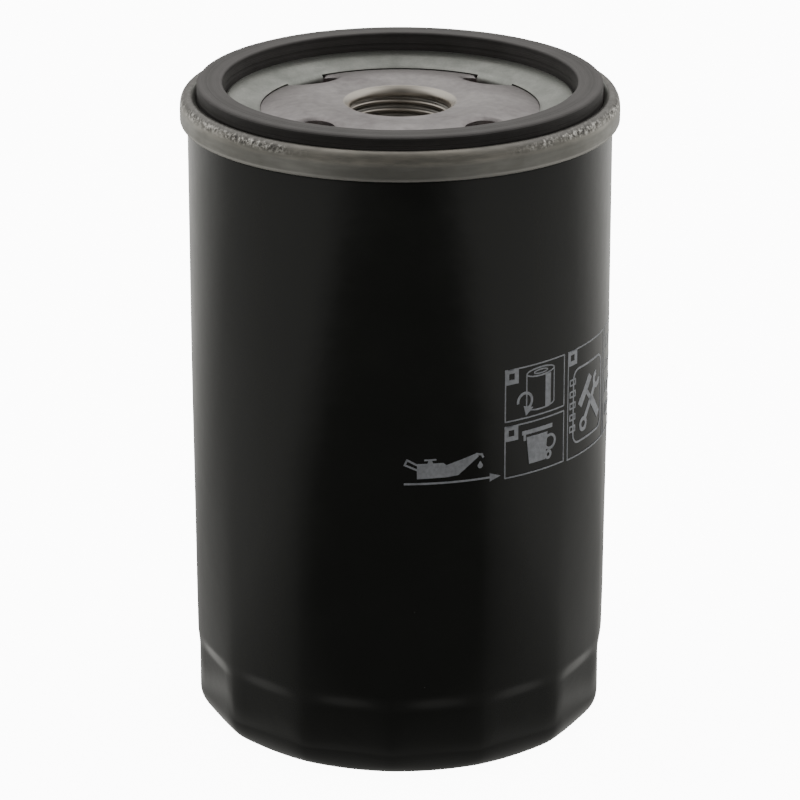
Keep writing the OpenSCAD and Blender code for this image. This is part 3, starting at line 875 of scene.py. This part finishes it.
def panel_art():
    """Generic shapes in arc length and height: an oil can over an arrow, and panels of a service sheet."""
    # oil can, spout to the right
    x, z = 0.7, 57.15
    fill([(x + 2.2, z), (x + 7.4, z + 0.1), (x + 9.4, z + 0.3), (x + 13.1, z + 3.3), (x + 12.9, z + 3.95),
          (x + 7.3, z + 2.3), (x + 6.8, z + 2.75), (x + 2.2, z + 2.75)])
    stroke([(x + 12.8, z + 3.75), (x + 13.7, z + 3.55), (x + 13.9, z + 3.1)], 0.36)
    fill([(x + 4.0, z + 2.75), (x + 5.0, z + 2.75), (x + 4.8, z + 3.3), (x + 4.2, z + 3.3)])
    stroke([(x + 3.6, z + 3.4), (x + 5.4, z + 3.4)], 0.28)
    stroke([(x + 2.3, z + 2.5), (x + 0.5, z + 3.5), (x + 0.1, z + 2.6), (x + 2.3, z + 1.6)], 0.34)
    drop(x + 13.4, z + 1.55, 0.6)
    # long arrow under it
    stroke([(0.8, 56.25), (16.3, 56.25)], 0.34)
    fill([(15.9, 55.5), (18.0, 56.25), (15.9, 57.0)])
    # upper box: the cartridge, turned by hand
    frame_box(18.7, 65.7, 32.4, 75.3, 0.2)
    corner_tile(18.7, 75.3)
    roller(26.4, 67.4, 6.6, 6.3)
    ring_band(22.9, 68.9, 1.75, 0.5, -70, 190, 18)
    fill([(22.6, 68.1), (24.7, 67.5), (23.1, 66.2)])
    # lower box: a jug of oil
    frame_box(18.7, 55.4, 32.4, 65.0, 0.2)
    corner_tile(18.7, 65.0)
    fill([(23.9, 57.2), (27.6, 57.2), (28.1, 62.2), (23.3, 62.2)])
    stroke([(22.7, 63.1), (28.9, 63.1)], 0.75)
    stroke([(22.9, 63.1), (22.9, 61.9)], 0.5)
    ring_band(28.7, 60.2, 1.5, 0.5)
    ring_band(28.3, 57.9, 0.85, 0.5)
    # tall panel: a bound page with a spanner and a hammer
    frame_box(33.3, 55.2, 47.8, 75.3, 0.2)
    corner_tile(33.3, 75.3)
    frame_box(34.9, 57.6, 46.4, 71.6, 1.9, 0.36)
    for k in range(5):
        frame_box(33.9, 60.1 + 2.15 * k, 35.8, 61.35 + 2.15 * k, 0.2, 0.3)
    ring_band(43.9, 67.4, 1.7, 0.95, 100, 350, 16)
    ring_band(38.5, 60.6, 1.35, 0.7)
    stroke([(42.9, 66.3), (39.2, 61.7)], 1.0)
    stroke([(37.7, 64.9), (40.6, 68.3)], 1.5)
    stroke([(39.4, 66.6), (42.6, 63.1)], 0.8)
    stroke([(42.2, 63.6), (44.4, 61.0)], 1.5)
    # edge of the next panel
    frame_box(48.5, 55.2, 60.0, 75.3, 0.2)
    for k in range(4):
        zc = 70.9 - 4.2 * k
        frame_box(50.0, zc, 52.2, zc + 2.2, 0.2, 0.3)
        stroke([(53.6, zc + 1.1), (58.4, zc + 1.1)], 0.42)


def ink_bmesh():
    """Every printed shape as a thin solid that follows the can's wall."""
    bm = bmesh.new()
    for points in ink_polys:
        part = bmesh.new()
        part.faces.new([part.verts.new((x, 0, z)) for x, z in points])
        low, high = min(x for x, _ in points), max(x for x, _ in points)
        cut = math.ceil(low / 1.2) * 1.2
        while cut < high:
            bmesh.ops.bisect_plane(part, geom=part.verts[:] + part.edges[:] + part.faces[:], dist=1e-6,
                                   plane_co=(cut, 0, 0), plane_no=(1, 0, 0))
            cut += 1.2
        made = bmesh.ops.extrude_face_region(part, geom=part.faces[:])
        for v in made["geom"]:
            if isinstance(v, bmesh.types.BMVert):
                v.co.y = 1.0
        for v in part.verts:
            a = v.co.x / CAN_R - PI / 2
            r = CAN_R - 0.02 + v.co.y * INK_T
            v.co = Vector((r * math.cos(a), r * math.sin(a), v.co.z))
        bmesh.ops.recalc_face_normals(part, faces=part.faces)
        mesh = bpy.data.meshes.new("part")
        part.to_mesh(mesh)
        part.free()
        bm.from_mesh(mesh)
        bpy.data.meshes.remove(mesh)
    return bm


panel_art()
add_object("printed_panel", ink_bmesh(), "housing", printed_ink(), smooth_shaded=False)

# ---- springs, valve lip and small pieces inside ---------------------------------------------


def coil(turns, r0, r1, z0, z1, wire_r, per_turn):
    """Points of a coil spring whose end turns lie closed."""
    closed = 0.75 / turns
    lift = 2.1 * wire_r * closed * turns
    points = []
    for i in range(int(turns * per_turn) + 1):
        u = i / (turns * per_turn)
        share = 0.0 if u < closed else 1.0 if u > 1 - closed else (u - closed) / (1 - 2 * closed)
        if u < closed:
            z = z0 + lift * u / closed
        elif u > 1 - closed:
            z = z1 - lift * (1 - u) / closed
        else:
            z = z0 + lift + (z1 - z0 - 2 * lift) * share
        r = r0 + (r1 - r0) * share
        a = 2 * PI * turns * u
        points.append(Vector((r * math.cos(a), r * math.sin(a), z)))
    return points


SUPPORT_WIRE_R = 1.0
BYPASS_WIRE_R = 0.45

support_path = coil(4, 27.2, 18, spring_low[2] + SUPPORT_WIRE_R, spring_high[2] - SUPPORT_WIRE_R,
                    SUPPORT_WIRE_R, 64)
support = add_object("support_coil", wire(support_path, SUPPORT_WIRE_R, 16), "housing",
                     MATERIALS["spring_steel"])
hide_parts("support_spring")
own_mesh(support)

bypass_path = coil(6, 5.2, 5.2, small_low[2] + BYPASS_WIRE_R, small_high[2] - BYPASS_WIRE_R,
                   BYPASS_WIRE_R, 40)
bypass = add_object("bypass_coil", wire(bypass_path, BYPASS_WIRE_R, 12), "cartridge",
                    MATERIALS["spring_steel"])
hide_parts("bypass_spring")
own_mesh(bypass)

GRIP_R = NECK_R + 0.05                       # the valve's grip round the neck
COLLAR_R = GRIP_R + 1.9
LIP_R = valve_high[0]
LIP_Z = FLANGE_Z - PLATE_T - 0.05
foot = valve_low[2]
collar_top = valve_high[2]
collar_outline = [
    (GRIP_R, foot), (COLLAR_R + 2.6, foot), (COLLAR_R + 2.6, foot + 1.2), (COLLAR_R + 2.0, foot + 1.8),
    (COLLAR_R + 0.8, foot + 2.1), (COLLAR_R, foot + 3.0), (COLLAR_R, collar_top - 0.4),
    (COLLAR_R - 0.4, collar_top), (GRIP_R + 0.3, collar_top - 0.2), (GRIP_R, collar_top - 0.5)]
collar = add_object("valve_collar", turned(collar_outline, 160), "housing",
                    MATERIALS["valve_rubber"])
sharpen(collar, 40)
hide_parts("antidrain_valve")

root_z = foot + 2.6
lip_outline = (
    [(COLLAR_R - 0.3, root_z - 0.5), (COLLAR_R + 2.0, root_z - 0.5)]
    + [(COLLAR_R + 2.0 + (LIP_R - COLLAR_R - 2.6) * t, root_z - 0.5 + (LIP_Z - 1.2 - root_z + 0.5) * t)
       for t in (0.25, 0.5, 0.75, 1.0)]
    + [(LIP_R, LIP_Z - 0.9), (LIP_R, LIP_Z - 0.3), (LIP_R - 0.3, LIP_Z), (LIP_R - 1.6, LIP_Z)]
    + [(LIP_R - 1.6 - (LIP_R - COLLAR_R - 2.4) * t, LIP_Z - (LIP_Z - root_z - 0.7) * t)
       for t in (0.25, 0.5, 0.75, 1.0)]
    + [(COLLAR_R - 0.3, root_z + 0.9)])
lip = add_object("valve_lip", turned(lip_outline, 160), "antidrain_lip",
                 MATERIALS["valve_rubber"])
sharpen(lip, 40)
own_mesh(lip)

# ---- floor, light and camera ----------------------------------------------------------------

FLOOR_GLOW = 11.0
WARM = (1.0, 0.99, 0.945)
WORLD_DEPTH = [(0.0, 0.22), (0.2, 0.27), (0.36, 0.34), (0.50, 0.74), (0.60, 0.88), (1.0, 0.96)]
WORLD_HEIGHT = [(0.0, 0.9), (0.42, 0.55), (0.55, 0.5), (0.75, 1.0), (1.0, 1.35)]
WORLD_GAP = [(0.0, 0.35), (0.12, 0.42), (0.5, 1.0), (1.0, 1.0)]
WORLD_GAP_END = -0.5                         # minus the depth at which the dim gap begins to close
SHADOW_HALF = (0.18, 0.28)                   # half width and depth of the soft shadow painted on the mirrored table
SHADOW_MIDDLE = 0.30                         # its distance from the axis, towards the camera


def stage_mesh(name, bm, material):
    mesh = bpy.data.meshes.new(name)
    bm.to_mesh(mesh)
    bm.free()
    obj = bpy.data.objects.new(name, mesh)
    bpy.context.collection.objects.link(obj)
    mesh.materials.append(material)
    return obj


def make_floor():
    """A pale floor. The enamel mirrors a glowing disc in its place, painted as a studio table looks from
    low down.
    """
    pale = Nodes("floor_white").set(Roughness=0.9, Specular_IOR_Level=0.0, Emission_Strength=FLOOR_GLOW)
    pale.bsdf.inputs["Base Color"].default_value = (0.93, 0.93, 0.93, 1.0)
    pale.bsdf.inputs["Emission Color"].default_value = (1.0, 1.0, 1.0, 1.0)
    bm = bmesh.new()
    bmesh.ops.create_circle(bm, cap_ends=True, segments=96, radius=6.0)
    floor = stage_mesh("floor", bm, pale.mat)
    floor.visible_glossy = False
    floor.visible_diffuse = False

    # what the enamel mirrors: a disc seen only in reflections, its glow painted as a lit table with the
    # filter's soft shadow towards the camera
    glow = Nodes("table_glow")
    tree = glow.tree
    place = tree.nodes.new("ShaderNodeMapping")
    place.inputs["Location"].default_value = (0.0, SHADOW_MIDDLE / SHADOW_HALF[1], 0.0)
    place.inputs["Scale"].default_value = (1 / SHADOW_HALF[0], 1 / SHADOW_HALF[1], 0.0)
    tree.links.new(glow.coord, place.inputs["Vector"])
    length = tree.nodes.new("ShaderNodeVectorMath")
    length.operation = "LENGTH"
    tree.links.new(place.outputs[0], length.inputs[0])
    # painted shadow of the filter on the mirrored table
    shadow = glow.ramp(glow.times(length.outputs["Value"], 0.5), [(0.42, 0.09), (0.58, 0.44)])
    away = glow.math("ADD", glow.times(glow.axis("Y"), 2.0), 0.3)
    back = glow.ramp(away, [(0.43, 1.0), (0.85, 2.15)])
    # painted light: brighter close round the filter, with a bright ring that the flats' shoulders mirror as
    # highlights
    near = glow.ramp(glow.times(glow.radius(), 5.0),
                     [(0.18, 1.4), (0.218, 1.2), (0.230, 1.9), (0.238, 1.9), (0.262, 1.0)])
    light = glow.times(glow.times(shadow, back), near)
    emit = tree.nodes.new("ShaderNodeEmission")
    tint = tree.nodes.new("ShaderNodeVectorMath")
    tint.operation = "SCALE"
    tint.inputs[0].default_value = WARM
    tree.links.new(light, tint.inputs["Scale"])
    tree.links.new(tint.outputs[0], emit.inputs["Color"])
    tree.links.new(emit.outputs[0], tree.nodes["Material Output"].inputs["Surface"])
    bm = bmesh.new()
    bmesh.ops.create_circle(bm, cap_ends=True, segments=96, radius=1.6)
    bmesh.ops.translate(bm, vec=(0, 0, -0.0003), verts=bm.verts)
    mirror = stage_mesh("table_reflection", bm, glow.mat)
    mirror.visible_camera = False
    mirror.visible_diffuse = False
    mirror.visible_shadow = False
    mirror.visible_transmission = False


make_floor()


def make_world():
    """Soft studio light: bright overhead, paler to the sides and behind, dim on the camera's side."""
    world = bpy.data.worlds.new("studio")
    bpy.context.scene.world = world
    world.use_nodes = True
    t = world.node_tree
    t.nodes.clear()

    def new(kind):
        return t.nodes.new(kind)

    coord = new("ShaderNodeTexCoord")
    axes = new("ShaderNodeSeparateXYZ")
    t.links.new(coord.outputs["Generated"], axes.inputs[0])

    def ramp(socket, low, high, stops, tint=(1.0, 1.0, 1.0)):
        rng = new("ShaderNodeMapRange")
        rng.inputs["From Min"].default_value = low
        rng.inputs["From Max"].default_value = high
        t.links.new(socket, rng.inputs["Value"])
        node = new("ShaderNodeValToRGB")
        node.color_ramp.interpolation = "EASE"
        for i, (pos, v) in enumerate(stops):
            e = node.color_ramp.elements[i] if i < 2 else node.color_ramp.elements.new(pos)
            e.position = pos
            e.color = (v * tint[0], v * tint[1], v * tint[2], 1.0)
        t.links.new(rng.outputs[0], node.inputs["Fac"])
        return node.outputs["Color"]

    # along Y: the camera's side is -1
    depth = ramp(axes.outputs["Y"], -1, 1, WORLD_DEPTH)
    height = ramp(axes.outputs["Z"], -1, 1, WORLD_HEIGHT, WARM)

    def calc(op, *values):
        node = new("ShaderNodeMath")
        node.operation = op
        for socket, v in zip(node.inputs, values):
            if isinstance(v, (int, float)):
                socket.default_value = v
            else:
                t.links.new(v, socket)
        return node.outputs[0]

    # two side lights: a dim gap between them, open at the back
    aside = calc("ABSOLUTE", axes.outputs["X"])
    behind = calc("MAXIMUM", calc("ADD", axes.outputs["Y"], WORLD_GAP_END), 0.0)
    gap = ramp(calc("ADD", aside, calc("MULTIPLY", behind, 2.0)), 0, 1, WORLD_GAP)

    def times(a, b):
        node = new("ShaderNodeMix")
        node.data_type = "RGBA"
        node.blend_type = "MULTIPLY"
        node.inputs[0].default_value = 1.0
        t.links.new(a, node.inputs[6])
        t.links.new(b, node.inputs[7])
        return node.outputs[2]

    mul = times(times(depth, height), gap)
    light = new("ShaderNodeBackground")
    light.inputs["Strength"].default_value = 1.0
    t.links.new(mul, light.inputs["Color"])
    plain = new("ShaderNodeBackground")
    plain.inputs["Color"].default_value = (0.96, 0.96, 0.96, 1.0)
    path = new("ShaderNodeLightPath")
    mix = new("ShaderNodeMixShader")
    t.links.new(path.outputs["Is Camera Ray"], mix.inputs["Fac"])
    t.links.new(light.outputs[0], mix.inputs[1])
    t.links.new(plain.outputs[0], mix.inputs[2])
    out = new("ShaderNodeOutputWorld")
    t.links.new(mix.outputs[0], out.inputs["Surface"])


make_world()


def area_light(name, place, aim, size, power, glossy=True):
    data = bpy.data.lights.new(name, "AREA")
    data.shape = "RECTANGLE"
    data.size, data.size_y = size
    data.energy = power
    lamp = bpy.data.objects.new(name, data)
    bpy.context.collection.objects.link(lamp)
    lamp.location = place
    lamp.rotation_euler = (Vector(aim) - Vector(place)).to_track_quat("-Z", "Y").to_euler()
    lamp.visible_camera = False
    lamp.visible_glossy = glossy
    return lamp


area_light("overhead", (0.0, 0.15, 1.1), (0, 0, 0.05), (1.1, 1.1), 9.0, glossy=False)

CAMERA_PLACE = (0.0, -0.7201, 0.3210)
cam_data = bpy.data.cameras.new("camera")
cam_data.lens = 192.5
cam_data.sensor_width = 36.0
cam_data.clip_start = 0.01
camera = bpy.data.objects.new("camera", cam_data)
bpy.context.collection.objects.link(camera)
camera.location = CAMERA_PLACE
camera.rotation_euler = (math.radians(69.94), 0, 0)
bpy.context.scene.camera = camera
